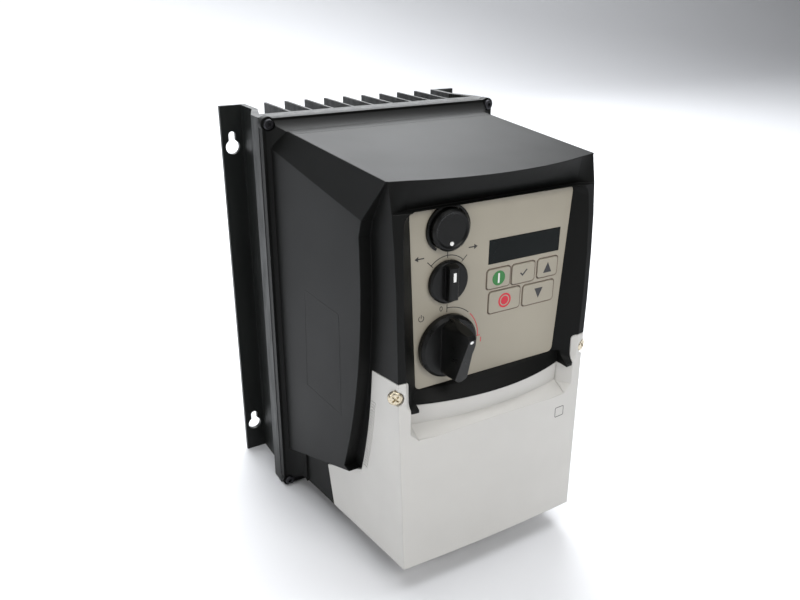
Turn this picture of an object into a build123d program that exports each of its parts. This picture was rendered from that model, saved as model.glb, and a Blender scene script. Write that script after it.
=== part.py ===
from build123d import *

import math
import os

# Wall-mounted variable frequency drive in a sealed housing with local controls.
# Millimetres. +X is right, -Y is the front, +Z is up. While the pieces are drawn, z = 0 is the
# lower end of the heatsink and y = 0 is the wall. Each piece is then lowered by HOLE_CENTRE_Z, so
# that the origin is the centre of the round entries of the four keyholes, on the wall.

# Wall holes
HOLE_X = 74.25
HOLE_LOW_Z = 26.0
HOLE_HIGH_Z = 215.0
SLOT_R = 2.1
KEYHOLE_R = 4.2
KEYHOLE_DROP = 7.0
HOLE_CENTRE_Z = (HOLE_LOW_Z + HOLE_HIGH_Z) / 2 - KEYHOLE_DROP

# Heatsink extrusion
HEIGHT = 232.0
FLANGE_HALF = 80.5
FLANGE_T = 2.5
LEG_X = 67.8
LEG_T = 3.3
LEG_BEND_Y = -20.5
PLATE_HALF = 74.9
PLATE_REAR_Y = -38.5
PLATE_FRONT_Y = -48.9
FIN_COUNT = 9
FIN_PITCH = 13.0
FIN_T = 1.6
FIN_TIP_Y = -0.8

# Housing flange and gasket
GASKET_FRONT_Y = -50.1
RIM_FRONT_Y = -53.7
RIM_HALF = 74.6
RIM_LOW_Z = 1.0
RIM_CORNER_R = 3.0
CORNER_SCREW_X = 71.4
CORNER_SCREW_LOW_Z = 4.0
CORNER_SCREW_HIGH_Z = 229.0
CORNER_BOSS_R = 4.0
CORNER_HEAD_R = 2.8
CORNER_SHANK_R = 1.5

# Housing body
WALL = 2.6
BODY_REAR_Y = -68.7
ROOF_REAR_Z = 225.6
ROOF_DROP = 0.0602
FLOOR_REAR_Z = 10.0
FLOOR_RISE = 0.053
SIDE_HALF_TOP = 63.4
SIDE_HALF_LOW = 65.5
# height, half width at the front corners, y of the front corners, y of the middle of the front
FRONT_SECTIONS = [
    (0.0, 55.8, -171.8, -173.0),
    (110.0, 57.9, -167.8, -171.0),
    (145.0, 58.4, -167.2, -171.0),
    (170.0, 58.6, -166.3, -170.9),
    (190.0, 58.9, -164.8, -170.8),
    (210.0, 59.1, -162.4, -170.7),
    (230.0, 59.3, -159.4, -170.5),
]

# Side pods
POD_REAR_HALF = 70.9
POD_FRONT_HALF = 65.0
POD_REAR_Y = -52.0
POD_FRONT_Y = -162.0
POD_CREASE_REAR_Z = 216.9
POD_CREASE_FRONT_Z = 197.6
POD_INNER_X = 57.0

# Control panel and its recess
PANEL_Y = -159.5
PANEL_T = 1.6
PANEL_TOP_Z = 205.5
PANEL_LOW_Z = 113.4
PANEL_TOP_HALF = 48.4
PANEL_LOW_HALF = 43.6
PANEL_CORNER_R = 3.0
FRONT_WALL_Y = -155.2
LIP_Z = 106.3
LIP_HALF = 47.0
LIP_END_Y = -161.0
LIP_MIDDLE_Y = -170.0
VISOR_Z = 206.4
SCOOP_LEDGE_Z = 95.2
SCOOP_LOW_Z = 91.0
SCOOP_RUN_OUT = 7.5
SCOOP_END_DEPTH = 8.0
SCOOP_OVER = 4.0
RECESS_FRONT_Y = -176.0
SPACE_FRONT_Y = -190.0  # cutting spaces end here, clear of the front

# Terminal cover
COVER_GAP = 0.35
EAR_X = 51.4
EAR_TOP_FRONT_Z = 124.2
EAR_TOP_REAR_Z = 121.6
EAR_CORNER_R = 2.8
SCREW_TURN = 24.0
SCREW_HEAD = (59.0, -166.7, 116.3)
SCREW_HEAD_R = 3.7
SCREW_HEAD_T = 2.4
SCREW_SHANK_R = 2.0
SCREW_SHANK_L = 7.5
EAR_CORE_HALF = 55.2
EAR_CORE_FRONT_Y = -163.4
SCOOP_BACK_Y = -158.4
COVER_HOLLOW_Z = 87.5
TRAY_HALF = 54.2
TRAY_T = 2.4
TRAY_LOW_Z = 17.8
TRAY_TOP_Z = 109.9
TRAY_FRONT_Y = -150.0
BULKHEAD_Y = -71.0
SHELF_TOP_Z = 113.0
SHELF_T = 3.0

# Controls on the panel
POT_X, POT_Z, POT_R = -27.5, 194.4, 10.3
POT_FRONT = 4.4
SELECTOR_X, SELECTOR_Z, SELECTOR_R = -26.9, 168.2, 10.8
SELECTOR_DISC_T = 2.4
SELECTOR_BAR_OUT = 6.8
ISOLATOR_X, ISOLATOR_Z, ISOLATOR_R = -26.3, 134.8, 16.3
ISOLATOR_DISC_T = 4.0
BLADE_HIGH_OUT = 22.0
BLADE_LOW_OUT = 13.4
WINDOW = (-2.7, 42.0, 171.8, 184.3)
KEYS = {
    "key_start": (-3.4, 11.2, 158.5, 169.2),
    "key_ok": (12.1, 27.0, 158.1, 169.1),
    "key_up": (28.5, 42.0, 158.5, 169.1),
    "key_stop": (-1.6, 18.4, 145.0, 157.0),
    "key_down": (20.0, 40.6, 144.7, 156.4),
}
KEY_PROUD = 0.5
KEY_GAP = 0.3
FIT = 0.05

# Cable entries
ENTRY_X = 36.0
ENTRY_Y = -84.5
ENTRY_R = 10.0

# Boards
POWER_BOARD_Y = -62.0
BOARD_T = 1.6
CONTROL_BOARD_Y = -110.0
KEYPAD_BOARD_Y = -152.0

FRONT = Vector(0, -1, 0)


def block(x0, x1, y0, y1, z0, z1):
    """A box between two corners."""
    size = (abs(x1 - x0), abs(y1 - y0), abs(z1 - z0))
    return Pos((x0 + x1) / 2, (y0 + y1) / 2, (z0 + z1) / 2) * Box(*size)


def rod(base, direction, radius, length):
    """A cylinder that starts at base and runs along direction."""
    lift = Align.CENTER, Align.CENTER, Align.MIN
    return Plane(origin=base, z_dir=direction) * Cylinder(radius, length, align=lift)


def cup(base, direction, low_r, high_r, length):
    """A cone frustum that starts at base and runs along direction."""
    lift = Align.CENTER, Align.CENTER, Align.MIN
    return Plane(origin=base, z_dir=direction) * Cone(low_r, high_r, length, align=lift)


def ring(base, direction, inner_r, outer_r, length):
    """A tube that starts at base and runs along direction."""
    return rod(base, direction, outer_r, length) - rod(base, direction, inner_r, length)


def closed_face(points):
    """A flat face with straight edges through points in space."""
    return Face(Wire.make_polygon([Vector(*point) for point in points], close=True))


def side_prism(points, x0, x1):
    """A prism along X whose outline is given as (y, z) points."""
    face = closed_face([(x0, y, z) for y, z in points])
    return extrude(face, amount=x1 - x0, dir=(1, 0, 0))


def front_prism(points, y0, y1):
    """A prism along Y whose outline is given as (x, z) points."""
    face = closed_face([(x, y0, z) for x, z in points])
    return extrude(face, amount=abs(y1 - y0), dir=(0, math.copysign(1, y1 - y0), 0))


def mirrored(shape):
    """The same shape on the other side of the middle plane."""
    return mirror(shape, about=Plane.YZ)


def both_sides(shape):
    """The shape and its mirror image."""
    return shape + mirrored(shape)


def between(low, high, share):
    """A value part of the way from low to high."""
    return low + (high - low) * share


# ---------------------------------------------------------------- heatsink


def heatsink():
    """Finned extrusion with a wall flange on each side and four keyholes."""
    leg = closed_face(
        [
            (LEG_X, -FLANGE_T, 0),
            (LEG_X, LEG_BEND_Y, 0),
            (PLATE_HALF, PLATE_REAR_Y, 0),
            (PLATE_HALF - LEG_T - 1.5, PLATE_REAR_Y, 0),
            (LEG_X - LEG_T, LEG_BEND_Y - 1.0, 0),
            (LEG_X - LEG_T, -FLANGE_T, 0),
        ]
    )
    side = extrude(leg, amount=HEIGHT, dir=(0, 0, 1))
    side += block(LEG_X - LEG_T, FLANGE_HALF, 0, -FLANGE_T, 0, HEIGHT)
    body = block(-PLATE_HALF, PLATE_HALF, PLATE_REAR_Y, PLATE_FRONT_Y, 0, HEIGHT)
    body += both_sides(side)
    for index in range(FIN_COUNT):
        x = (index - (FIN_COUNT - 1) / 2) * FIN_PITCH
        body += block(x - FIN_T / 2, x + FIN_T / 2, FIN_TIP_Y, PLATE_REAR_Y, 0, HEIGHT)
    for x in (-HOLE_X, HOLE_X):
        for z in (HOLE_LOW_Z, HOLE_HIGH_Z):
            body -= rod((x, 1, z), FRONT, SLOT_R, 4)
            body -= block(x - SLOT_R, x + SLOT_R, 1, -3, z, z - KEYHOLE_DROP)
            body -= rod((x, 1, z - KEYHOLE_DROP), FRONT, KEYHOLE_R, 4)
    for x, z in corner_screw_places():
        body -= rod((x, PLATE_FRONT_Y, z), -FRONT, CORNER_SHANK_R + FIT, 7)
    for x, z in standoff_places():
        body -= rod((x, PLATE_FRONT_Y, z), -FRONT, 1.5 + FIT, 5)
    return body


def corner_screw_places():
    """Centres of the four screws that hold the housing to the heatsink."""
    for x in (-CORNER_SCREW_X, CORNER_SCREW_X):
        for z in (CORNER_SCREW_LOW_Z, CORNER_SCREW_HIGH_Z):
            yield x, z


def standoff_places():
    """Centres of the four pillars under the power board."""
    for x in (-53.0, 53.0):
        for z in (24.0, 208.0):
            yield x, z


# ---------------------------------------------------------------- housing


def side_half(z):
    """Half width of the body at its rear, which narrows upwards."""
    return between(SIDE_HALF_LOW, SIDE_HALF_TOP, (z - 10) / 215)


def body_section(z, corner_x, corner_y, middle_y, inset):
    """Plan outline of the body at one height: straight sides and a bowed front."""
    rear = side_half(z) - inset
    x, y, apex = corner_x - inset, corner_y + inset, middle_y + inset
    rear_y = RIM_FRONT_Y + 0.5
    edges = [
        Line((-rear, rear_y, z), (-x, y, z)),
        ThreePointArc((-x, y, z), (0, apex, z), (x, y, z)),
        Line((x, y, z), (rear, rear_y, z)),
        Line((rear, rear_y, z), (-rear, rear_y, z)),
    ]
    return Face(Wire(edges))


def body_block(inset):
    """The body as a solid, cut by the sloping roof and floor."""
    sections = [body_section(*row, inset) for row in FRONT_SECTIONS]
    solid = loft(sections, ruled=True)
    far = -200.0
    roof = side_prism(
        [
            (0, ROOF_REAR_Z + ROOF_DROP * BODY_REAR_Y * -1 - inset),
            (far, ROOF_REAR_Z + ROOF_DROP * (far - BODY_REAR_Y) - inset),
            (far, 300),
            (0, 300),
        ],
        -100,
        100,
    )
    floor = side_prism(
        [
            (0, FLOOR_REAR_Z + FLOOR_RISE * BODY_REAR_Y + inset),
            (far, FLOOR_REAR_Z - FLOOR_RISE * (far - BODY_REAR_Y) + inset),
            (far, -50),
            (0, -50),
        ],
        -100,
        100,
    )
    return solid - roof - floor


def flare_arc(edge, body, place):
    """Hollow curve from the rim's edge to the body's surface; place turns (across, y) into a point."""
    start = RIM_FRONT_Y + 0.2
    reach = BODY_REAR_Y - 0.2 - start
    middle = (edge + (body - edge) * math.sin(math.pi / 4), start + reach * (1 - math.cos(math.pi / 4)))
    return ThreePointArc(place(edge, start), place(*middle), place(body, start + reach))


def flare():
    """Hollow-curved transition from the rim to the body on all four sides."""
    plans = []
    start, end = RIM_FRONT_Y + 0.2, BODY_REAR_Y
    edge = RIM_HALF - 1.2
    for z in (0.0, HEIGHT):
        half = side_half(z) + 0.05
        right = flare_arc(edge, half, lambda across, y: (across, y, z))
        left = flare_arc(-edge, -half, lambda across, y: (across, y, z))
        sides = [Line(left @ 0, right @ 0), right, Line(right @ 1, left @ 1), left]
        plans.append(Face(Wire(sides)))
    wide = loft(plans, ruled=True)
    roof = ROOF_REAR_Z + ROOF_DROP * (BODY_REAR_Y - end) + 0.05
    top = flare_arc(HEIGHT - 1.2, roof, lambda across, y: (-90, y, across))
    low = flare_arc(RIM_LOW_Z + 1.2, FLOOR_REAR_Z - 0.05, lambda across, y: (-90, y, across))
    profile = [Line(low @ 0, top @ 0), top, Line(top @ 1, low @ 1), low]
    tall = extrude(Face(Wire(profile)), amount=180, dir=(1, 0, 0))
    return wide & tall


def rim(rear_y, front_y, low_z, high_z, half):
    """Flat rounded plate with a boss at each corner screw."""
    place = Plane(origin=(0, rear_y, (low_z + high_z) / 2), x_dir=(1, 0, 0), z_dir=FRONT)
    plate = place * RectangleRounded(2 * half, high_z - low_z, RIM_CORNER_R)
    solid = extrude(plate, amount=abs(front_y - rear_y))
    for x, z in corner_screw_places():
        solid += rod((x, rear_y, z), FRONT, CORNER_BOSS_R, abs(front_y - rear_y))
    return solid


def pod_outline(grow):
    """Side outline of a pod as a face: rear, top, slanted front, curved step and sloping underside."""
    x = 50.0
    points = [
        (-55.0, 27.9 - grow),
        (-55.0, 240.0),
        (-172.0 - grow, 240.0),
        (-147.0 - grow, 200.2),
        (-144.6 - grow, 192.0),
        (-125.6 - grow, 57.0),
        (-131.0 - grow, 56.2 - grow),
    ]
    places = [Vector(x, y, z) for y, z in points]
    curve_middle = Vector(x, -142.4 - grow, 124.0)
    edges = [Line(places[index], places[index + 1]) for index in range(4)]
    edges.append(ThreePointArc(places[4], curve_middle, places[5]))
    edges.append(Line(places[5], places[6]))
    edges.append(Line(places[6], places[0]))
    return Face(Wire(edges))


def pod(inset):
    """A side pod: tilted outer face, crease, and a facet that rises to the roof edge."""
    sections = []
    for y, outer, crease_z in (
        (POD_REAR_Y, POD_REAR_HALF, POD_CREASE_REAR_Z),
        (POD_FRONT_Y, POD_FRONT_HALF, POD_CREASE_FRONT_Z),
    ):
        run = BODY_REAR_Y - y
        roof_x = SIDE_HALF_TOP - 0.0372 * run - inset
        roof_z = ROOF_REAR_Z - ROOF_DROP * run - inset
        sections.append(
            closed_face(
                [
                    (POD_INNER_X - inset, y, 20.0),
                    (outer - inset, y, 20.0),
                    (outer - inset, y, crease_z - inset / 2),
                    (roof_x, y, roof_z),
                    (POD_INNER_X - inset, y, roof_z),
                ]
            )
        )
    slab = loft(sections, ruled=True)
    outline = extrude(pod_outline(-inset), amount=40, dir=(1, 0, 0))
    return slab & outline


def body_curve(z, end_x, end_y, middle_y, far_y):
    """Plan face in front of a bowed line, out to far_y."""
    edges = [
        ThreePointArc((-end_x, end_y, z), (0, middle_y, z), (end_x, end_y, z)),
        Line((end_x, end_y, z), (end_x, far_y, z)),
        Line((end_x, far_y, z), (-end_x, far_y, z)),
        Line((-end_x, far_y, z), (-end_x, end_y, z)),
    ]
    return Face(Wire(edges))


def recess_cutter():
    """Space in front of the control panel, with sloping sides."""
    sections = []
    floor_y = PANEL_Y + PANEL_T
    slope = 1.15
    reach = PANEL_Y - RECESS_FRONT_Y
    for y, grow, low_z, top_z, corner, low_corner in (
        (floor_y, 0.0, PANEL_LOW_Z, PANEL_TOP_Z, PANEL_CORNER_R, PANEL_CORNER_R),
        (PANEL_Y, 0.0, PANEL_LOW_Z, PANEL_TOP_Z, PANEL_CORNER_R, PANEL_CORNER_R),
        (RECESS_FRONT_Y, reach * slope, LIP_Z - 2.0, VISOR_Z + 1.0, 12.0, 3.5),
    ):
        sections.append(rounded_panel(y, grow, low_z, top_z, corner, low_corner))
    solid = loft(sections[:2], ruled=True)
    solid += loft(sections[1:], ruled=True)
    return solid


def rounded_panel(y, grow, low_z, top_z, corner, low_corner):
    """Rounded outline of the panel, wider at the top, at one depth."""
    low_half, top_half = PANEL_LOW_HALF + grow, PANEL_TOP_HALF + grow
    outline = Polyline(
        (-low_half, low_z), (low_half, low_z), (top_half, top_z), (-top_half, top_z), close=True
    )
    face = make_face(outline)
    face = fillet(face.vertices().group_by(Axis.Y)[-1], corner)
    face = fillet(face.vertices().group_by(Axis.Y)[0], low_corner)
    return Plane(origin=(0, y, 0), x_dir=(1, 0, 0), z_dir=FRONT) * face


def visor_cutter():
    """Space under the visor: straight at the panel, bowed at the roof edge."""
    low_z, high_z = VISOR_Z - 0.4, 226.0
    shoulder, end = 50.0, 61.0
    low = [(-end, -163.6), (-shoulder, PANEL_Y), (shoulder, PANEL_Y), (end, -163.6)]
    high_end_y, high_middle_y = -157.6, -173.4

    def arc_y(x):
        sag = high_end_y - high_middle_y
        radius = (end**2 + sag**2) / (2 * sag)
        return high_middle_y + radius - math.sqrt(radius**2 - x**2)

    def wire(points, z, curved):
        edges = []
        for (xa, ya), (xb, yb) in zip(points, points[1:]):
            middle = (xa + xb) / 2
            if curved:
                edges.append(ThreePointArc((xa, ya, z), (middle, arc_y(middle), z), (xb, yb, z)))
            else:
                edges.append(Line((xa, ya, z), (xb, yb, z)))
        edges.append(Line((end, points[-1][1], z), (end, -190, z)))
        edges.append(Line((end, -190, z), (-end, -190, z)))
        edges.append(Line((-end, -190, z), (-end, points[0][1], z)))
        return Face(Wire(edges))

    high = [(x, arc_y(x)) for x, _ in low]
    return loft([wire(low, low_z, False), wire(high, high_z, True)], ruled=True)


def sill_cutter():
    """Space over the ledge below the panel: straight at the panel, bowed at the lip."""
    low = body_curve(LIP_Z, LIP_HALF, LIP_END_Y, LIP_MIDDLE_Y, SPACE_FRONT_Y)
    high_z = PANEL_LOW_Z + 0.6
    high = body_curve(high_z, LIP_HALF, PANEL_Y - 0.05, PANEL_Y - 0.1, SPACE_FRONT_Y)
    return loft([low, high], ruled=True)


def scoop_cutter():
    """Finger scoop in the cover: a bowed wall that runs out to the front below it."""
    ledge_end_y = LIP_END_Y + 0.8
    ledge_middle_y = LIP_MIDDLE_Y + 4.0
    top = body_curve(LIP_Z + SCOOP_OVER, LIP_HALF, LIP_END_Y, LIP_MIDDLE_Y, SPACE_FRONT_Y)
    middle = body_curve(SCOOP_LEDGE_Z, LIP_HALF, ledge_end_y, ledge_middle_y, SPACE_FRONT_Y)
    low = body_curve(
        SCOOP_LOW_Z,
        LIP_HALF,
        ledge_end_y - SCOOP_RUN_OUT,
        ledge_middle_y - SCOOP_RUN_OUT,
        SPACE_FRONT_Y,
    )
    solid = loft([middle, top], ruled=True) + loft([low, middle], ruled=True)
    return solid + both_sides(scoop_end())


def scoop_end():
    """Sloping end wall of the scoop, out to the inner edge of the ear."""
    faces = []
    inner_x = LIP_HALF - 0.3
    outer_x = EAR_X + 0.3
    levels = (
        (SCOOP_LOW_Z, SCOOP_RUN_OUT),
        (SCOOP_LEDGE_Z, 0.0),
        (LIP_Z + SCOOP_OVER, 0.0),
    )
    for z, push in levels:
        faces.append(
            closed_face(
                [
                    (inner_x, LIP_END_Y - push, z),
                    (inner_x, SPACE_FRONT_Y, z),
                    (outer_x, SPACE_FRONT_Y, z),
                    (outer_x, LIP_END_Y - SCOOP_END_DEPTH - push, z),
                ]
            )
        )
    return loft(faces[:2], ruled=True) + loft(faces[1:], ruled=True)


def cover_zone(gap):
    """Space that belongs to the terminal cover, grown by gap at the joint line."""
    low = [
        (-102.6 + gap, 0.0),
        (-94.0 + gap, 36.6 + gap),
        (-94.0 - 36.5, 36.6 + gap + 36.5 * 0.38),
    ]
    profile = [Vector(-80, y, z) for y, z in low]
    step_low = Vector(-80, -131.6 + gap, 55.4 + gap)
    step_high = Vector(-80, -144.2 + gap, EAR_TOP_REAR_Z + gap)
    curve = Vector(-80, -141.2 + gap, 96.0)
    front_high = Vector(-80, -190, EAR_TOP_FRONT_Z + gap + 2.4)
    front_low = Vector(-80, -190, 0)
    edges = [
        Line(profile[0], profile[1]),
        Line(profile[1], step_low),
        ThreePointArc(step_low, curve, step_high),
        Line(step_high, front_high),
        Line(front_high, front_low),
        Line(front_low, profile[0]),
    ]
    solid = extrude(Face(Wire(edges)), amount=160, dir=(1, 0, 0))
    ear_inner = EAR_X - gap
    solid -= block(-ear_inner, ear_inner, -60, -200, LIP_Z + gap, 140)
    corner_x = EAR_X + EAR_CORNER_R
    corner_z = EAR_TOP_FRONT_Z - 0.3 - EAR_CORNER_R
    corner = block(ear_inner - 1, corner_x, -146, -200, corner_z, 140)
    corner -= rod((corner_x, -140, corner_z), FRONT, EAR_CORNER_R + gap, 70)
    return solid - both_sides(corner)


def housing_outer():
    """Outside of the housing with its panel recess cut in."""
    solid = body_block(0.0) + flare()
    solid += both_sides(pod(0.0))
    solid += rim(GASKET_FRONT_Y, RIM_FRONT_Y, RIM_LOW_Z, HEIGHT, RIM_HALF)
    solid -= recess_cutter()
    solid -= visor_cutter()
    solid -= sill_cutter()
    return solid


def tray_frame(y0, y1, outer_grow=0.0):
    """Four walls of the terminal compartment between two depths."""
    half = TRAY_HALF + outer_grow
    outer = block(-half, half, y0, y1, TRAY_LOW_Z - outer_grow, TRAY_TOP_Z)
    inner = block(
        -TRAY_HALF + TRAY_T,
        TRAY_HALF - TRAY_T,
        y0 + 1,
        y1 - 1,
        TRAY_LOW_Z + TRAY_T,
        TRAY_TOP_Z - TRAY_T,
    )
    return outer - inner


def inner_upper():
    """Space inside the upper part of the housing."""
    space = body_block(WALL) & block(-90, 90, 0, FRONT_WALL_Y, SHELF_TOP_Z + 14, 260)
    space += block(-44, 44, -60, FRONT_WALL_Y, SHELF_TOP_Z, SHELF_TOP_Z + 15)
    return space


def inner_rear():
    """Space behind the bulkhead, open to the heatsink."""
    half = 58.0
    space = block(-half, half, GASKET_FRONT_Y + 1, BULKHEAD_Y + WALL, 15, 219)
    space += block(-62, 62, GASKET_FRONT_Y + 1, -60, 13, 221)
    return space


def inner_lower():
    """Space inside the lower part of the housing, in front of the bulkhead."""
    space = body_block(WALL) & block(-90, 90, BULKHEAD_Y, -200, 0, SHELF_TOP_Z - SHELF_T)
    return space - block(-90, 90, FRONT_WALL_Y, -200, LIP_Z, SHELF_TOP_Z)


def enclosure():
    """Black housing shell with rim, pods, panel recess and terminal tray."""
    solid = housing_outer()
    solid -= inner_rear()
    solid -= inner_upper()
    solid -= inner_lower()
    solid -= cover_zone(COVER_GAP) & block(-90, 90, 0, -200, 0, LIP_Z + COVER_GAP)
    solid -= ear_space()
    solid += tray_frame(BULKHEAD_Y + 0.5, TRAY_FRONT_Y) & body_block(0.2)
    solid -= front_wall_openings()
    for x in (-ENTRY_X, 0, ENTRY_X):
        solid -= rod((x, ENTRY_Y, 0), (0, 0, 1), ENTRY_R + FIT, 24)
        solid -= rod((x, ENTRY_Y, 17), (0, 0, 1), 13.6, 10) & block(-60, 60, -60, -120, 17, 26)
    for x, z in corner_screw_places():
        solid -= rod((x, RIM_FRONT_Y, z), FRONT, CORNER_HEAD_R + 0.6, 30)
        solid -= rod((x, -45, z), FRONT, CORNER_SHANK_R + FIT, 12)
    solid -= block(-46, 46, -60, BULKHEAD_Y - 1, 62, 84)
    solid -= block(-46, 46, -60, BULKHEAD_Y - 1, 90, 103)
    return solid


def ear_space():
    """Space that the cover's ears take out of the housing, down to their inner face."""
    zone = cover_zone(COVER_GAP) & block(-90, 90, -100, -200, LIP_Z - 1, 140)
    core = block(-EAR_CORE_HALF, EAR_CORE_HALF, 0, EAR_CORE_FRONT_Y, 0, 140)
    space = zone - core
    for side in (-1, 1):
        pocket = screw_rod(side, 0.3, SCREW_SHANK_R + 0.5, -(SCREW_HEAD_T + SCREW_SHANK_L + 1.0))
        space += pocket
        space += screw_pocket(side)
    return space


def screw_frame(side):
    """Plane at the front of a cover screw's head, facing along its axis."""
    angle = math.radians(SCREW_TURN)
    x, y, z = SCREW_HEAD
    normal = (side * math.sin(angle), -math.cos(angle), 0)
    return Plane(origin=(side * x, y, z), x_dir=(0, 0, 1), z_dir=normal)


def screw_rod(side, start, radius, length):
    """Cylinder on a cover screw's axis from start, forwards when length is positive."""
    low = min(start, start + length)
    lift = Align.CENTER, Align.CENTER, Align.MIN
    return screw_frame(side) * Pos(0, 0, low) * Cylinder(radius, abs(length), align=lift)


def screw_pocket(side):
    """Clear way for a cover screw's end when the cover is pulled off forwards."""
    reach = SCREW_HEAD_T + SCREW_SHANK_L + 0.6
    angle = math.radians(SCREW_TURN)
    tip_x = SCREW_HEAD[0] - reach * math.sin(angle)
    tip_y = SCREW_HEAD[1] + reach * math.cos(angle)
    half = SCREW_SHANK_R + 0.5
    z = SCREW_HEAD[2]
    return block(side * (tip_x - half), side * 62, tip_y, -190, z - half, z + half)


def front_wall_openings():
    """Holes in the wall behind the panel for the shafts, the display and the keys."""
    cut = block(-5.5, 43.5, PANEL_Y, -150, 143.2, 186.2)
    for x, z, radius in (
        (POT_X, POT_Z, 3.6),
        (SELECTOR_X, SELECTOR_Z, 8.1),
        (ISOLATOR_X, ISOLATOR_Z, 6.0),
    ):
        cut += rod((x, -150, z), FRONT, radius, 15)
    for x, z in isolator_screw_places():
        cut += rod((x, -150, z), FRONT, 1.6, 15)
    return cut


def gasket():
    """Flat seal between the heatsink and the housing rim."""
    plate = rim(PLATE_FRONT_Y, GASKET_FRONT_Y, RIM_LOW_Z, HEIGHT, RIM_HALF)
    plate -= block(-62, 62, -40, -60, 13, 221)
    for x, z in corner_screw_places():
        plate -= rod((x, -45, z), FRONT, CORNER_SHANK_R + FIT, 12)
    return plate


def corner_screws():
    """Four round-headed screws with a hexagon socket."""
    screws = []
    for x, z in corner_screw_places():
        head = rod((x, RIM_FRONT_Y, z), FRONT, CORNER_HEAD_R, 2.0)
        head = fillet(head.edges().filter_by(GeomType.CIRCLE).sort_by(Axis.Y)[0], 0.7)
        socket = Plane(origin=(x, RIM_FRONT_Y - 2.0, z), z_dir=-FRONT) * RegularPolygon(1.3, 6)
        head -= extrude(socket, amount=1.2)
        head += rod((x, RIM_FRONT_Y - 0.2, z), -FRONT, CORNER_SHANK_R, 11)
        screws.append(head)
    return screws


# ---------------------------------------------------------------- terminal cover


def terminal_cover():
    """Light cover over the terminals, with a finger scoop and an ear at each top corner."""
    solid = body_block(0.0) & cover_zone(0.0)
    solid -= scoop_cutter()
    solid -= recess_cutter() & block(-EAR_X - 3, EAR_X + 3, -140, -200, LIP_Z, 140)
    hollow = body_block(WALL) & block(-90, 90, 0, -200, 0, COVER_HOLLOW_Z)
    hollow += body_block(WALL) & block(-90, 90, 0, SCOOP_BACK_Y, COVER_HOLLOW_Z - 2, LIP_Z + 1)
    solid -= hollow
    half = EAR_CORE_HALF + COVER_GAP
    solid -= block(-half, half, 0, EAR_CORE_FRONT_Y - COVER_GAP, LIP_Z, 140)
    for side in (-1, 1):
        solid -= screw_rod(side, -SCREW_HEAD_T, SCREW_HEAD_R + 0.5, 12)
        solid -= screw_rod(side, 0, SCREW_SHANK_R + FIT, -20)
    return solid


def cover_screw(side):
    """Pan-headed cross-recess screw that turns in an ear of the cover."""
    head = screw_rod(side, -SCREW_HEAD_T + 0.02, SCREW_HEAD_R, SCREW_HEAD_T - 0.02)
    plane = screw_frame(side)
    outer = head.edges().filter_by(GeomType.CIRCLE).sort_by(Axis.Y)[0]
    head = fillet(outer, 1.3)
    for turn in (0, 90):
        head -= plane * Rot(0, 0, 45 + turn) * Box(4.2, 0.9, 2.4)
    return head + screw_rod(side, -SCREW_HEAD_T + 0.1, SCREW_SHANK_R, -SCREW_SHANK_L)


# ---------------------------------------------------------------- control panel


def control_panel():
    """Plate that carries the controls, with openings for the window and the keys."""
    gap = 0.1
    plate = extrude(
        rounded_panel(
            PANEL_Y + PANEL_T,
            -gap,
            PANEL_LOW_Z + gap,
            PANEL_TOP_Z - gap,
            PANEL_CORNER_R,
            PANEL_CORNER_R,
        ),
        amount=PANEL_T,
    )
    x0, x1, z0, z1 = WINDOW
    plate -= block(x0 - FIT, x1 + FIT, -150, -165, z0 - FIT, z1 + FIT)
    for x0, x1, z0, z1 in KEYS.values():
        plate -= key_shape(x0, x1, z0, z1, 0.0, -150, 20)
    plate -= rod((POT_X, -150, POT_Z), FRONT, 3.6, 15)
    plate -= rod((SELECTOR_X, -150, SELECTOR_Z), FRONT, 8.1, 15)
    plate -= rod((ISOLATOR_X, -150, ISOLATOR_Z), FRONT, 6.0, 15)
    for x, z in isolator_screw_places():
        plate -= rod((x, -150, z), FRONT, 1.6, 15)
    return plate


def key_shape(x0, x1, z0, z1, inset, y, length):
    """Rounded pad that starts at y and runs forwards."""
    width, height = x1 - x0 - 2 * inset, z1 - z0 - 2 * inset
    centre = ((x0 + x1) / 2, y, (z0 + z1) / 2)
    face = Plane(origin=centre, x_dir=(1, 0, 0), z_dir=FRONT) * RectangleRounded(width, height, 1.6)
    return extrude(face, amount=length)


def key(name):
    """One key: a thin pad that stands just proud of the panel."""
    depth = PANEL_T + KEY_PROUD + 0.3
    pad = key_shape(*KEYS[name], KEY_GAP, PANEL_Y + PANEL_T + 0.3, depth)
    front_edges = pad.faces().sort_by(Axis.Y)[0].edges()
    return fillet(front_edges, 0.3)


def display_window():
    """Dark filter over the digits."""
    x0, x1, z0, z1 = WINDOW
    return block(x0, x1, PANEL_Y + PANEL_T, PANEL_Y - 0.1, z0, z1)


def display_module():
    """Digit block on the keypad board, with four raised digits."""
    x0, x1, z0, z1 = WINDOW
    front = PANEL_Y + PANEL_T + 1.0
    solid = block(x0 + 2, x1 - 2, KEYPAD_BOARD_Y - BOARD_T, front, z0 + 0.5, z1 - 0.5)
    return solid


def keypad_board():
    """Board behind the display and the keys."""
    return block(-5, 43, KEYPAD_BOARD_Y, KEYPAD_BOARD_Y - BOARD_T, 138, 190)


def key_switches():
    """One small push switch behind each key."""
    switches = []
    for x0, x1, z0, z1 in KEYS.values():
        x, z = (x0 + x1) / 2, (z0 + z1) / 2
        rear = KEYPAD_BOARD_Y - BOARD_T
        body = block(x - 3, x + 3, rear, rear - 2.0, z - 3, z + 3)
        switches.append(body + rod((x, rear - 2.0, z), FRONT, 1.5, 0.6))
    return switches


# ---------------------------------------------------------------- knobs


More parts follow.
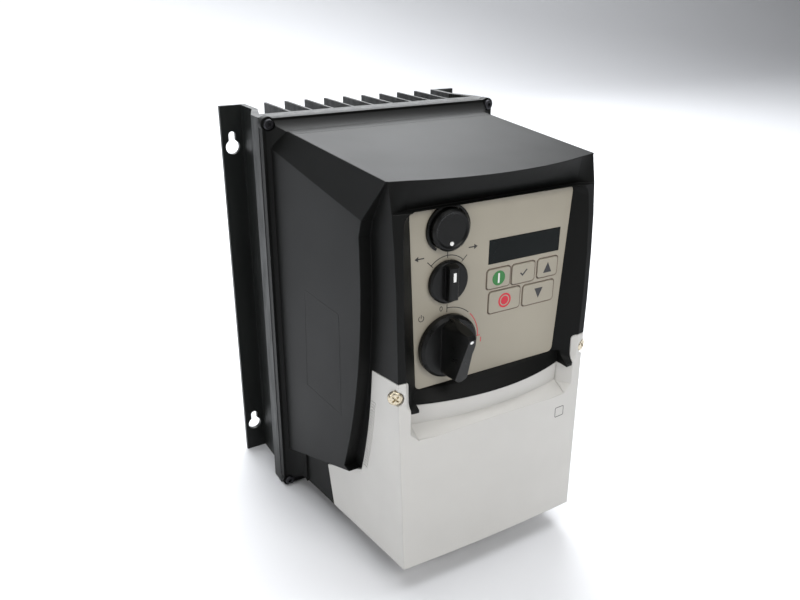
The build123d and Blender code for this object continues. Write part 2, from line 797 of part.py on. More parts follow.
def pot_knob():
    """Low round dial with a bevelled rim, a shallow dish and a dot near the rim."""
    rear = PANEL_Y - 0.6
    front = PANEL_Y - POT_FRONT
    knob = rod((POT_X, rear, POT_Z), FRONT, POT_R, rear - front)
    knob = chamfer(knob.edges().filter_by(GeomType.CIRCLE).sort_by(Axis.Y)[0], 1.0)
    knob -= cup((POT_X, front, POT_Z), -FRONT, 8.6, 7.8, 0.5)
    knob -= rod((POT_X, front + 1.5, POT_Z - 6.4), FRONT, 1.0, 3)
    knob -= rod((POT_X, rear + 1, POT_Z), FRONT, 3.0, 3.4)
    return knob


def pot_collar():
    """Raised C-shaped ring round the dial, open at the bottom."""
    collar = ring((POT_X, PANEL_Y, POT_Z), FRONT, POT_R + 0.35, POT_R + 1.6, 1.6)
    gap = front_prism([(POT_X, POT_Z), (POT_X - 12, POT_Z - 16), (POT_X + 12, POT_Z - 16)], -155, -165)
    return (collar - gap) & block(-90, 90, 0, -200, 0, PANEL_TOP_Z - 0.4)


def pot_shaft():
    """Shaft of the speed dial."""
    return rod((POT_X, -146.0, POT_Z), FRONT, 2.95, 16.4)


def pot_body():
    """Potentiometer can with its threaded neck and three tags."""
    can = rod((POT_X, -154.6, POT_Z), -FRONT, 8.0, 9.0)
    can += rod((POT_X, -154.4, POT_Z), FRONT, 3.5, 4.6)
    for shift in (-5, 0, 5):
        can += block(POT_X + shift - 0.8, POT_X + shift + 0.8, -149.6, -150.4, POT_Z - 13, POT_Z - 6)
    return can - rod((POT_X, -145.9, POT_Z), FRONT, 3.0, 15)


def selector_knob():
    """Round disc with a finger bar across it."""
    base = PANEL_Y - 0.5
    knob = rod((SELECTOR_X, base, SELECTOR_Z), FRONT, SELECTOR_R, SELECTOR_DISC_T)
    knob = chamfer(knob.edges().filter_by(GeomType.CIRCLE).sort_by(Axis.Y)[0], 0.8)
    out = PANEL_Y - SELECTOR_BAR_OUT
    bar = side_prism(
        [
            (base - 1, SELECTOR_Z - 8.6),
            (out + 0.6, SELECTOR_Z - 8.2),
            (out, SELECTOR_Z - 7.4),
            (out, SELECTOR_Z + 8.4),
            (base - 1, SELECTOR_Z + 10.0),
        ],
        SELECTOR_X - 2.7,
        SELECTOR_X + 2.7,
    )
    bar = fillet(bar.edges().filter_by(Axis.Z), 1.0)
    knob += bar
    return knob - rod((SELECTOR_X, base + 1, SELECTOR_Z), FRONT, 4.0, 2.9)


def selector_shaft():
    """Shaft of the direction selector."""
    return rod((SELECTOR_X, -138.0, SELECTOR_Z), FRONT, 3.95, 23.6)


def selector_switch():
    """Selector body and contact block with its threaded neck."""
    neck = rod((SELECTOR_X, -154.8, SELECTOR_Z), FRONT, 8.0, 4.9)
    base = block(SELECTOR_X - 12, SELECTOR_X + 12, -155.0, -146, SELECTOR_Z - 12, SELECTOR_Z + 12)
    contacts = block(SELECTOR_X - 11, SELECTOR_X + 11, -147, -126, SELECTOR_Z - 9, SELECTOR_Z + 9)
    return neck + base + contacts - rod((SELECTOR_X, -137.9, SELECTOR_Z), FRONT, 4.0, 26)


def blade_face():
    """Side outline of the isolator blade, from its low foot to its high tip."""
    base = PANEL_Y - 2.0
    return [
        (base, ISOLATOR_Z - 13.5),
        (PANEL_Y - 8.0, ISOLATOR_Z - 15.4),
        (PANEL_Y - BLADE_LOW_OUT, ISOLATOR_Z - 15.0),
        (PANEL_Y - BLADE_HIGH_OUT, ISOLATOR_Z + 11.0),
        (PANEL_Y - BLADE_HIGH_OUT + 1.5, ISOLATOR_Z + 12.6),
        (PANEL_Y - 4.0, ISOLATOR_Z + 15.6),
        (base, ISOLATOR_Z + 15.0),
    ]


def isolator_knob():
    """Broad disc with a tall finger blade that stands higher at its pointer end."""
    base = PANEL_Y - 0.6
    knob = rod((ISOLATOR_X, base, ISOLATOR_Z), FRONT, ISOLATOR_R, ISOLATOR_DISC_T)
    knob = chamfer(knob.edges().filter_by(GeomType.CIRCLE).sort_by(Axis.Y)[0], 1.4)
    foot = loft(
        [
            Plane(origin=(ISOLATOR_X, base - 3.4, ISOLATOR_Z), x_dir=(1, 0, 0), z_dir=FRONT)
            * RectangleRounded(11.5, 29.0, 4.0),
            Plane(origin=(ISOLATOR_X, PANEL_Y - 24.0, ISOLATOR_Z), x_dir=(1, 0, 0), z_dir=FRONT)
            * RectangleRounded(2.6, 29.0, 1.25),
        ],
        ruled=True,
    )
    blade = side_prism(blade_face(), ISOLATOR_X - 9, ISOLATOR_X + 9)
    knob += foot & blade
    knob += side_prism(blade_face(), ISOLATOR_X - 1.3, ISOLATOR_X + 1.3)
    return knob - rod((ISOLATOR_X, base + 1, ISOLATOR_Z), FRONT, 4.0, 9.0)


def isolator_shaft():
    """Shaft of the isolator."""
    return rod((ISOLATOR_X, -130.0, ISOLATOR_Z), FRONT, 3.95, 37.8)


def isolator_screw_places():
    """Centres of the two screws that hold the isolator switch."""
    return [(ISOLATOR_X - 9.0, ISOLATOR_Z), (ISOLATOR_X + 9.0, ISOLATOR_Z)]


def isolator_switch():
    """Isolator switch body with a neck, terminals and ribs."""
    x, z = ISOLATOR_X, ISOLATOR_Z
    body = block(x - 16.5, x + 16.5, -155.0, -121, z - 16.5, z + 16.5)
    for level in (-127.0, -135.0, -143.0):
        body -= block(x - 17, x - 14.5, level, level - 4, z - 13, z + 13)
        body -= block(x + 14.5, x + 17, level, level - 4, z - 13, z + 13)
    body += rod((x, -154.8, z), FRONT, 5.9, 4.6)
    body -= rod((x, -129.9, z), FRONT, 4.0, 40)
    for sx, sz in isolator_screw_places():
        body -= rod((sx, -145, sz), FRONT, 1.55, 14)
    return body


def isolator_screws():
    """Two headless screws that end flush with the panel under the isolator disc."""
    screws = []
    for x, z in isolator_screw_places():
        screws.append(rod((x, -146, z), FRONT, 1.5, PANEL_Y * -1 - 146))
    return screws


# ---------------------------------------------------------------- cable entries


def entry_plugs():
    """Blanking plugs in the three cable entries: slotted head and threaded spigot."""
    plugs = []
    for x in (-ENTRY_X, 0, ENTRY_X):
        floor = entry_floor() - 1.5
        plug = rod((x, ENTRY_Y, floor), (0, 0, -1), 12.0, 3.0)
        plug = chamfer(plug.edges().filter_by(GeomType.CIRCLE).sort_by(Axis.Z)[0], 0.8)
        plug -= block(x - 8, x + 8, ENTRY_Y - 1, ENTRY_Y + 1, floor - 4, floor - 1.6)
        plug += rod((x, ENTRY_Y, floor - 0.5), (0, 0, 1), ENTRY_R, 13.0)
        plug -= rod((x, ENTRY_Y, floor + 2), (0, 0, 1), 8.0, 20)
        plugs.append(plug)
    return plugs


def entry_floor():
    """Lowest height of the housing floor over the cable entries."""
    return FLOOR_REAR_Z - FLOOR_RISE * (ENTRY_Y + 12.5 - BODY_REAR_Y)


def entry_seals():
    """Rubber washer under the head of each plug."""
    seals = []
    for x in (-ENTRY_X, 0, ENTRY_X):
        washer = ring((x, ENTRY_Y, entry_floor() - 1.5), (0, 0, 1), ENTRY_R + FIT, 12.0, 4)
        seals.append(washer - body_block(-0.005))
    return seals


def cover_seal():
    """Rubber frame on the rim of the terminal tray."""
    return tray_frame(TRAY_FRONT_Y, TRAY_FRONT_Y - 2.0)


# ---------------------------------------------------------------- inside


def power_board():
    """Main power board, parallel to the heatsink."""
    board = block(-57, 57, POWER_BOARD_Y, POWER_BOARD_Y - BOARD_T, 17, 216)
    for x, z in standoff_places():
        board -= rod((x, -60, z), FRONT, 1.6, 6)
    return board


def power_board_standoffs():
    """Four pillars between the heatsink and the power board."""
    pillars = []
    for x, z in standoff_places():
        pillar = ring((x, PLATE_FRONT_Y, z), FRONT, 1.55, 3.5, PLATE_FRONT_Y - POWER_BOARD_Y)
        pillars.append(pillar)
    return pillars


def power_board_screws():
    """Four screws through the power board and its pillars into the heatsink."""
    screws = []
    for x, z in standoff_places():
        front = POWER_BOARD_Y - BOARD_T
        screw = rod((x, front, z), FRONT, 2.8, 2.0) + rod((x, front - 0.2, z), -FRONT, 1.5, 19)
        screws.append(screw)
    return screws


def power_module():
    """Power semiconductor block pressed on the heatsink."""
    solid = block(-30, 30, PLATE_FRONT_Y, -58.5, 96, 142)
    for x in (-24, -12, 0, 12, 24):
        for z in (100, 138):
            solid += block(x - 1, x + 1, -58.4, POWER_BOARD_Y, z - 0.5, z + 0.5)
    return solid


def bus_capacitors():
    """Four round capacitors standing on the power board."""
    front = POWER_BOARD_Y - BOARD_T
    cans = []
    for x in (-38, -13, 13, 38):
        can = rod((x, front, 196), FRONT, 11.0, 36)
        cans.append(fillet(can.edges().filter_by(GeomType.CIRCLE).sort_by(Axis.Y)[0], 1.5))
    return cans


def filter_choke():
    """Ring-cored filter choke on the power board."""
    centre = (30, POWER_BOARD_Y - BOARD_T - 0.0, 160)
    return ring(centre, FRONT, 7.0, 15.0, 14)


def relay():
    """Relay block on the power board."""
    front = POWER_BOARD_Y - BOARD_T
    return block(-40, -12, front, front - 16, 152, 166)


def control_board():
    """Control board between the power board and the panel."""
    board = block(-52, 52, CONTROL_BOARD_Y, CONTROL_BOARD_Y - BOARD_T, 130, 212)
    for x, z in control_pillar_places():
        board -= rod((x, -105, z), FRONT, 1.55, 10)
    return board


def control_pillar_places():
    """Centres of the pillars under the control board."""
    for x in (-49.0, 49.0):
        for z in (134.0, 176.0):
            yield x, z


def control_board_standoffs():
    """Four long pillars between the two boards, with a stud through the control board."""
    pillars = []
    front = POWER_BOARD_Y - BOARD_T
    for x, z in control_pillar_places():
        pillar = rod((x, front, z), FRONT, 2.8, front - CONTROL_BOARD_Y)
        pillar += rod((x, CONTROL_BOARD_Y + 0.5, z), FRONT, 1.5, 4.0)
        pillars.append(pillar)
    return pillars


def ribbon_cable():
    """Flat cable from the control board to the keypad board."""
    return block(20, 40, CONTROL_BOARD_Y - BOARD_T, KEYPAD_BOARD_Y, 146, 147)


def power_terminals():
    """Row of eight screw terminals for the supply and the motor."""
    front = POWER_BOARD_Y - BOARD_T
    rail = block(-44, 44, front, -92, 63, 83)
    for index in range(8):
        x = -38.5 + 11 * index
        rail -= block(x - 3.5, x + 3.5, -80, -93, 60, 70)
        rail -= rod((x, -84, 77), FRONT, 3.2, 9)
    return rail


def power_terminal_screws():
    """Clamp screws of the power terminals."""
    screws = []
    for index in range(8):
        x = -38.5 + 11 * index
        screw = rod((x, -84, 77), FRONT, 3.1, 5)
        screw -= block(x - 2.6, x + 2.6, -88, -90, 76.5, 77.5)
        screws.append(screw)
    return screws


def control_terminals():
    """Row of small terminals for the control wires."""
    front = POWER_BOARD_Y - BOARD_T
    rail = block(-44, 20, front, -88, 91, 102)
    for index in range(11):
        x = -40 + 5.6 * index
        rail -= block(x - 1.6, x + 1.6, -80, -89, 89, 96)
        rail -= rod((x, -85, 99), FRONT, 1.5, 4)
    return rail


def network_socket():
    """Socket for a data lead, open to the front."""
    front = POWER_BOARD_Y - BOARD_T
    shell = block(25, 42, front, -92, 90.5, 102.5)
    return shell - block(27.5, 39.5, -80, -93, 92.5, 100.5)


def earth_screws():
    """Three earth screws in the tray, with washers."""
    screws = []
    for x in (-30, 0, 30):
        washer = ring((x, BULKHEAD_Y, 40), FRONT, 2.2, 5.0, 1.0)
        screw = rod((x, BULKHEAD_Y - 1.0, 40), FRONT, 4.0, 2.6)
        screw -= block(x - 3.2, x + 3.2, -73.8, -76, 39.5, 40.5)
        screws.append(washer + screw + rod((x, BULKHEAD_Y - 2, 40), -FRONT, 2.1, 2.0))
    return screws


# ---------------------------------------------------------------- writing

PIECES = {
    "heatsink": heatsink,
    "rim_gasket": gasket,
    "enclosure": enclosure,
    "corner_screws": corner_screws,
    "terminal_cover": terminal_cover,
    "cover_screw_left": lambda: cover_screw(-1),
    "cover_screw_right": lambda: cover_screw(1),
    "cover_seal": cover_seal,
    "control_panel": control_panel,
    "display_window": display_window,
    "display_module": display_module,
    "keypad_board": keypad_board,
    "key_switches": key_switches,
    "pot_collar": pot_collar,
    "pot_knob": pot_knob,
    "pot_shaft": pot_shaft,
    "pot_body": pot_body,
    "selector_knob": selector_knob,
    "selector_shaft": selector_shaft,
    "selector_switch": selector_switch,
    "isolator_knob": isolator_knob,
    "isolator_shaft": isolator_shaft,
    "isolator_switch": isolator_switch,
    "isolator_screws": isolator_screws,
    "entry_plugs": entry_plugs,
    "entry_seals": entry_seals,
    "power_board": power_board,
    "power_board_standoffs": power_board_standoffs,
    "power_board_screws": power_board_screws,
    "power_module": power_module,
    "bus_capacitors": bus_capacitors,
    "filter_choke": filter_choke,
    "relay": relay,
    "control_board": control_board,
    "control_board_standoffs": control_board_standoffs,
    "ribbon_cable": ribbon_cable,
    "power_terminals": power_terminals,
    "power_terminal_screws": power_terminal_screws,
    "control_terminals": control_terminals,
    "network_socket": network_socket,
    "earth_screws": earth_screws,
}


def solids_of(made):
    """Every solid of a piece or of a group of pieces."""
    shapes = made if isinstance(made, list) else [made]
    return [solid for shape in shapes for solid in shape.solids()]


def write(name, made):
    """Lower a piece to the wall-hole origin and write its STEP file."""
    solids = [Pos(0, 0, -HOLE_CENTRE_Z) * solid for solid in solids_of(made)]
    shape = solids[0] if len(solids) == 1 else Compound(children=solids)
    shape.label = name
    export_step(shape, f"parts/{name}.step")
    print(name, len(solids), round(sum(solid.volume for solid in solids), 1))


def main():
    os.makedirs("parts", exist_ok=True)
    for name, make in PIECES.items():
        write(name, make())
    for name in KEYS:
        write(name, key(name))


if __name__ == "__main__":
    main()
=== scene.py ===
import math

import bpy
from mathutils import Matrix, Vector
from mathutils.bvhtree import BVHTree


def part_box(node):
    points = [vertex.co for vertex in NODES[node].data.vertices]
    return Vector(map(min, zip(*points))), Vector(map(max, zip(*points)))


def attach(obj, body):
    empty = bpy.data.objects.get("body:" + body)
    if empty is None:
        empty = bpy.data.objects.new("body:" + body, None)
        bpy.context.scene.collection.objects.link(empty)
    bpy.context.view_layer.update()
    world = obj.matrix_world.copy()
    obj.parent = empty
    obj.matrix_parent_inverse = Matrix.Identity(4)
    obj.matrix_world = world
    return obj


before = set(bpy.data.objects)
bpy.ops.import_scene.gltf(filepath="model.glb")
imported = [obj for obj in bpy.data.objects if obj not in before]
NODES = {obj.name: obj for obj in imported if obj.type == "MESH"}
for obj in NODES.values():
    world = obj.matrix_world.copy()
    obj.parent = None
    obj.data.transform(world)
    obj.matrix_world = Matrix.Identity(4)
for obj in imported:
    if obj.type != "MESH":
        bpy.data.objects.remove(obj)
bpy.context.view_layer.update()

# A wall-mounted motor drive. Metres. +X is right, -Y is the front, +Z is up, and the origin is
# the centre of the four wall holes, on the wall. Drawing sizes are in millimetres and pass
# through MM.
MM = 0.001

FLOOR_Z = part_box("heatsink")[0][2]


# ------------------------------------------------------------------ camera, lights and floor

CAMERA_PLACE = (-0.2182, -0.4381, FLOOR_Z + 0.3014)
CAMERA_TURN = -30.72
CAMERA_DOWN = 23.02
CAMERA_ROLL = 0.39
CAMERA_LENS = 34.36
CAMERA_SENSOR = 36.0
CAMERA_NEAR = 0.01


def add_camera():
    """Camera at the viewpoint of the picture that the scene is matched to."""
    data = bpy.data.cameras.new("view")
    data.lens = CAMERA_LENS
    data.sensor_width = CAMERA_SENSOR
    data.clip_start = CAMERA_NEAR
    camera = bpy.data.objects.new("view", data)
    bpy.context.scene.collection.objects.link(camera)
    turn = Matrix.Rotation(math.radians(CAMERA_TURN), 4, "Z")
    tilt = Matrix.Rotation(math.radians(90.0 - CAMERA_DOWN), 4, "X")
    roll = Matrix.Rotation(math.radians(CAMERA_ROLL), 4, "Z")
    camera.matrix_world = Matrix.Translation(CAMERA_PLACE) @ turn @ tilt @ roll
    bpy.context.scene.camera = camera


DRIVE_MIDDLE = (0.0, -0.08, 0.0)

# Name, place, size in metres, power in watts, colour and the point that the light faces
LIGHTS = (
    ("rear soft light", (0.35, 0.95, 1.15), 1.3, 36.0, (0.97, 0.985, 1.0), DRIVE_MIDDLE),
    ("left soft light", (-1.25, -0.55, 0.55), 0.8, 5.5, (1.0, 0.99, 0.97), DRIVE_MIDDLE),
    ("front soft light", (0.15, -1.35, 0.95), 0.7, 8.6, (1.0, 0.985, 0.96), DRIVE_MIDDLE),
    ("floor wash", (0.0, 0.2, 2.0), 2.4, 36.0, (0.98, 0.99, 1.0), DRIVE_MIDDLE),
    ("backdrop light", (0.5, -0.2, 2.4), 1.6, 24.0, (0.97, 0.985, 1.0), (1.2, 2.4, 0.7)),
)


def add_light(name, place, size, power, colour, aim):
    """Square soft light that faces a point."""
    data = bpy.data.lights.new(name, "AREA")
    data.shape = "SQUARE"
    data.size = size
    data.energy = power
    data.color = colour
    light = bpy.data.objects.new(name, data)
    bpy.context.scene.collection.objects.link(light)
    light.location = place
    facing = Vector(aim) - Vector(place)
    light.rotation_euler = facing.to_track_quat("-Z", "Y").to_euler()


WORLD_COLOUR = (0.97, 0.98, 1.0, 1.0)
WORLD_STRENGTH = 0.14


def add_world():
    """Even pale surroundings."""
    world = bpy.data.worlds.new("pale room")
    world.use_nodes = True
    back = world.node_tree.nodes["Background"]
    back.inputs["Color"].default_value = WORLD_COLOUR
    back.inputs["Strength"].default_value = WORLD_STRENGTH
    bpy.context.scene.world = world
    bpy.context.scene.view_settings.view_transform = "Standard"


def add_floor(material):
    """Pale sheet that sweeps up behind the drive."""
    near, far, half = -2.5, 1.2, 7.0
    radius, top = 0.9, 3.2
    profile = [(near, 0.0), (far, 0.0)]
    steps = 12
    for step in range(1, steps + 1):
        angle = math.radians(90.0 * step / steps)
        profile.append((far + radius * math.sin(angle), radius * (1.0 - math.cos(angle))))
    profile.append((far + radius, top))
    verts = []
    faces = []
    for y, z in profile:
        verts.append((-half, y, FLOOR_Z + z))
        verts.append((half, y, FLOOR_Z + z))
    for index in range(len(profile) - 1):
        first = 2 * index
        faces.append((first, first + 1, first + 3, first + 2))
    mesh = bpy.data.meshes.new("floor")
    mesh.from_pydata(verts, [], faces)
    for face in mesh.polygons:
        face.use_smooth = True
    floor = bpy.data.objects.new("floor", mesh)
    bpy.context.scene.collection.objects.link(floor)
    mesh.materials.append(material)


# ------------------------------------------------------------------ material helpers


# Sockets of a mix node that is set to colour
MIX_FIRST = 6
MIX_SECOND = 7
MIX_RESULT = 2

# A wave texture of scale 1 repeats every 2 pi / 20
WAVE_FACTOR = 20.0


def wave_scale(pitch):
    """Scale of a wave texture that repeats every pitch metres."""
    return 2.0 * math.pi / (WAVE_FACTOR * pitch)


class Look:
    """A material with its shader and a way to add nodes to it."""

    def __init__(self, name, colour, roughness, metallic=0.0):
        self.material = bpy.data.materials.new(name)
        self.material.use_nodes = True
        self.tree = self.material.node_tree
        self.shader = self.tree.nodes["Principled BSDF"]
        self.set("Base Color", (*colour, 1.0))
        self.set("Roughness", roughness)
        self.set("Metallic", metallic)
        self.coords = self.add("ShaderNodeTexCoord").outputs["Object"]
        self.normal = None

    def set(self, socket, value):
        self.shader.inputs[socket].default_value = value

    def add(self, kind, **values):
        node = self.tree.nodes.new(kind)
        for key, value in values.items():
            setattr(node, key, value)
        return node

    def link(self, output, socket):
        self.tree.links.new(output, socket)

    def noise(self, size, detail, stretch=(1.0, 1.0, 1.0)):
        """Soft noise whose features are about size metres across."""
        place = self.add("ShaderNodeMapping")
        place.inputs["Scale"].default_value = stretch
        self.link(self.coords, place.inputs["Vector"])
        noise = self.add("ShaderNodeTexNoise")
        noise.inputs["Scale"].default_value = 1.0 / size
        noise.inputs["Detail"].default_value = detail
        self.link(place.outputs["Vector"], noise.inputs["Vector"])
        return noise.outputs["Fac"]

    def span(self, value, low, high, start=0.3, end=0.7):
        """Value between start and end, spread between low and high."""
        node = self.add("ShaderNodeMapRange")
        node.inputs["From Min"].default_value = start
        node.inputs["From Max"].default_value = end
        node.inputs["To Min"].default_value = low
        node.inputs["To Max"].default_value = high
        self.link(value, node.inputs["Value"])
        return node.outputs["Result"]

    def shade(self, value, dark, light, start=0.3, end=0.7):
        """Base colour that moves between two colours with value."""
        node = self.add("ShaderNodeMix", data_type="RGBA")
        node.inputs[MIX_FIRST].default_value = (*dark, 1.0)
        node.inputs[MIX_SECOND].default_value = (*light, 1.0)
        self.link(self.span(value, 0.0, 1.0, start, end), node.inputs["Factor"])
        self.link(node.outputs[MIX_RESULT], self.shader.inputs["Base Color"])

    def rough(self, value, low, high):
        """Roughness that moves between low and high with value."""
        self.link(self.span(value, low, high), self.shader.inputs["Roughness"])

    def soft_edges(self, radius):
        """Rounds the shading of every edge."""
        bevel = self.add("ShaderNodeBevel", samples=6)
        bevel.inputs["Radius"].default_value = radius
        self.normal = bevel.outputs["Normal"]

    def bump(self, height, depth, strength):
        """Relief of the given depth in metres, laid over any earlier relief."""
        bump = self.add("ShaderNodeBump")
        bump.inputs["Strength"].default_value = strength
        bump.inputs["Distance"].default_value = depth
        self.link(height, bump.inputs["Height"])
        if self.normal is not None:
            self.link(self.normal, bump.inputs["Normal"])
        self.normal = bump.outputs["Normal"]

    def done(self):
        """The finished material."""
        if self.normal is not None:
            self.link(self.normal, self.shader.inputs["Normal"])
        return self.material


def tint(colour, factor):
    """The colour made darker or lighter."""
    return tuple(min(channel * factor, 1.0) for channel in colour)


def moulded(name, colour, roughness, grain, depth, edge=0.4 * MM, mottle=0.06):
    """Moulded plastic with a fine eroded texture and faint handling marks."""
    look = Look(name, colour, roughness)
    look.set("IOR", 1.48)
    patches = look.noise(28 * MM, 3.0)
    look.shade(patches, tint(colour, 1.0 - mottle), tint(colour, 1.0 + mottle))
    look.rough(look.noise(11 * MM, 4.0), roughness - 0.05, roughness + 0.05)
    look.soft_edges(edge)
    look.bump(look.noise(grain, 3.0), depth, 0.6)
    return look.done()


def metal(name, colour, roughness):
    """Plated steel with a fine turned finish."""
    look = Look(name, colour, roughness, 1.0)
    look.shade(look.noise(1.6 * MM, 3.0), tint(colour, 0.82), tint(colour, 1.08))
    look.rough(look.noise(0.8 * MM, 3.0), roughness - 0.08, roughness + 0.1)
    look.soft_edges(0.15 * MM)
    look.bump(look.noise(0.25 * MM, 2.0), 0.01 * MM, 0.5)
    return look.done()


def ink(name, colour, roughness=0.45):
    """Printed ink, very slightly uneven."""
    look = Look(name, colour, roughness)
    look.shade(look.noise(0.6 * MM, 2.0), tint(colour, 0.94), tint(colour, 1.06))
    return look.done()


# ------------------------------------------------------------------ materials


def heatsink_look():
    """Black anodised extrusion: draw lines along its length and ribs on the fins."""
    colour = (0.0085, 0.0098, 0.0092)
    rib_pitch = 1.5 * MM
    rib_depth = 0.22 * MM
    fins_half_width = 66.0 * MM
    look = Look("heatsink anodised", colour, 0.42)
    look.set("Specular IOR Level", 0.26)
    look.shade(look.noise(9 * MM, 4.0, (1.0, 1.0, 0.08)), tint(colour, 0.8), tint(colour, 1.35))
    look.rough(look.noise(5 * MM, 3.0, (1.0, 1.0, 0.2)), 0.36, 0.52)
    look.soft_edges(0.25 * MM)
    look.bump(look.noise(0.9 * MM, 2.0, (1.0, 1.0, 0.02)), 0.03 * MM, 0.7)
    ribs = look.add("ShaderNodeTexWave", wave_type="BANDS", bands_direction="Y")
    ribs.inputs["Scale"].default_value = wave_scale(rib_pitch)
    look.link(look.coords, ribs.inputs["Vector"])
    place = look.add("ShaderNodeSeparateXYZ")
    look.link(look.coords, place.inputs["Vector"])
    middle = look.add("ShaderNodeMath", operation="ABSOLUTE")
    look.link(place.outputs["X"], middle.inputs[0])
    on_fins = look.add("ShaderNodeMath", operation="LESS_THAN")
    on_fins.inputs[1].default_value = fins_half_width
    look.link(middle.outputs[0], on_fins.inputs[0])
    ribbed = look.add("ShaderNodeMath", operation="MULTIPLY")
    look.link(ribs.outputs["Fac"], ribbed.inputs[0])
    look.link(on_fins.outputs[0], ribbed.inputs[1])
    look.bump(ribbed.outputs[0], rib_depth, 0.8)
    return look.done()


def housing_look():
    """Black moulding with a matt spark-eroded surface."""
    colour = (0.0034, 0.0037, 0.0034)
    look = Look("housing moulding", colour, 0.5)
    look.set("Specular IOR Level", 0.15)
    patches = look.noise(60 * MM, 2.0)
    look.shade(patches, tint(colour, 0.95), tint(colour, 1.08))
    look.rough(look.noise(45 * MM, 2.0), 0.48, 0.52)
    look.soft_edges(0.7 * MM)
    look.bump(look.noise(0.55 * MM, 4.0), 0.035 * MM, 0.75)
    return look.done()


def panel_look(name="panel film"):
    """Pale warm grey film with a faint orange-peel surface."""
    colour = (0.365, 0.334, 0.268)
    look = Look(name, colour, 0.46)
    look.shade(look.noise(40 * MM, 2.0), tint(colour, 0.97), tint(colour, 1.03))
    look.rough(look.noise(9 * MM, 3.0), 0.42, 0.5)
    look.soft_edges(0.2 * MM)
    look.bump(look.noise(0.5 * MM, 2.0), 0.012 * MM, 0.5)
    return look.done()


def window_look():
    """Smoked filter in front of the display."""
    colour = (0.003, 0.005, 0.005)
    look = Look("smoked window", colour, 0.2)
    look.set("Specular IOR Level", 0.12)
    look.shade(look.noise(20 * MM, 2.0), tint(colour, 0.85), tint(colour, 1.2))
    look.rough(look.noise(6 * MM, 3.0), 0.18, 0.26)
    look.soft_edges(0.2 * MM)
    return look.done()


def knob_look():
    """Satin black control plastic, smoother than the housing."""
    colour = (0.0030, 0.0032, 0.0030)
    look = Look("control plastic", colour, 0.34)
    look.set("Specular IOR Level", 0.22)
    look.shade(look.noise(8 * MM, 3.0), tint(colour, 0.8), tint(colour, 1.35))
    look.rough(look.noise(5 * MM, 3.0), 0.26, 0.38)
    look.soft_edges(0.45 * MM)
    look.bump(look.noise(0.35 * MM, 2.0), 0.008 * MM, 0.5)
    return look.done()


def board_look():
    """Green solder resist over a grid of tracks."""
    colour = (0.012, 0.09, 0.035)
    tracks_per_metre = 90.0
    track_gap = 0.03
    look = Look("circuit board", colour, 0.32)
    tracks = look.add("ShaderNodeTexBrick")
    tracks.inputs["Scale"].default_value = tracks_per_metre
    tracks.inputs["Color1"].default_value = (*colour, 1.0)
    tracks.inputs["Color2"].default_value = (*tint(colour, 1.25), 1.0)
    tracks.inputs["Mortar"].default_value = (*tint(colour, 1.9), 1.0)
    tracks.inputs["Mortar Size"].default_value = track_gap
    turn = look.add("ShaderNodeMapping")
    turn.inputs["Rotation"].default_value = (math.radians(90.0), 0.0, 0.0)
    look.link(look.coords, turn.inputs["Vector"])
    look.link(turn.outputs["Vector"], tracks.inputs["Vector"])
    look.link(tracks.outputs["Color"], look.shader.inputs["Base Color"])
    look.soft_edges(0.1 * MM)
    look.bump(tracks.outputs["Fac"], 0.03 * MM, 0.5)
    return look.done()


def winding_look():
    """Enamelled copper wire wound round a core, with painted shade between the turns and a
    painted highlight on them.
    """
    colour = (0.36, 0.13, 0.045)
    wire_pitch = 1.1 * MM
    look = Look("copper winding", colour, 0.3, 0.6)
    turns = look.add("ShaderNodeTexWave", wave_type="RINGS", rings_direction="Y")
    turns.inputs["Scale"].default_value = wave_scale(wire_pitch)
    look.link(look.coords, turns.inputs["Vector"])
    # Painted shade in the grooves between turns and painted highlight on their crowns, following
    # the same bands as the relief
    look.shade(turns.outputs["Fac"], tint(colour, 0.5), tint(colour, 1.15), 0.0, 1.0)
    look.bump(turns.outputs["Fac"], 0.3 * MM, 0.8)
    return look.done()


def sleeve_look():
    """Dark blue shrunk sleeve, as on a bus capacitor."""
    colour = (0.018, 0.028, 0.085)
    look = Look("capacitor sleeve", colour, 0.28)
    look.shade(look.noise(6 * MM, 3.0), tint(colour, 0.8), tint(colour, 1.2))
    look.rough(look.noise(4 * MM, 3.0), 0.22, 0.36)
    look.soft_edges(0.4 * MM)
    return look.done()


def rubber_look():
    """Matt black rubber."""
    colour = (0.016, 0.016, 0.0165)
    look = Look("seal rubber", colour, 0.75)
    look.shade(look.noise(5 * MM, 3.0), tint(colour, 0.85), tint(colour, 1.2))
    look.soft_edges(0.2 * MM)
    look.bump(look.noise(0.4 * MM, 2.0), 0.02 * MM, 0.6)
    return look.done()


def floor_look():
    """Pale sheet with a trace of unevenness."""
    colour = (0.72, 0.728, 0.75)
    look = Look("studio floor", colour, 0.6)
    look.shade(look.noise(0.6, 2.0), tint(colour, 0.985), tint(colour, 1.01))
    return look.done()


COVER_COLOUR = (0.60, 0.59, 0.565)
PART_GRAIN = 0.4 * MM
PART_RELIEF = 0.015 * MM

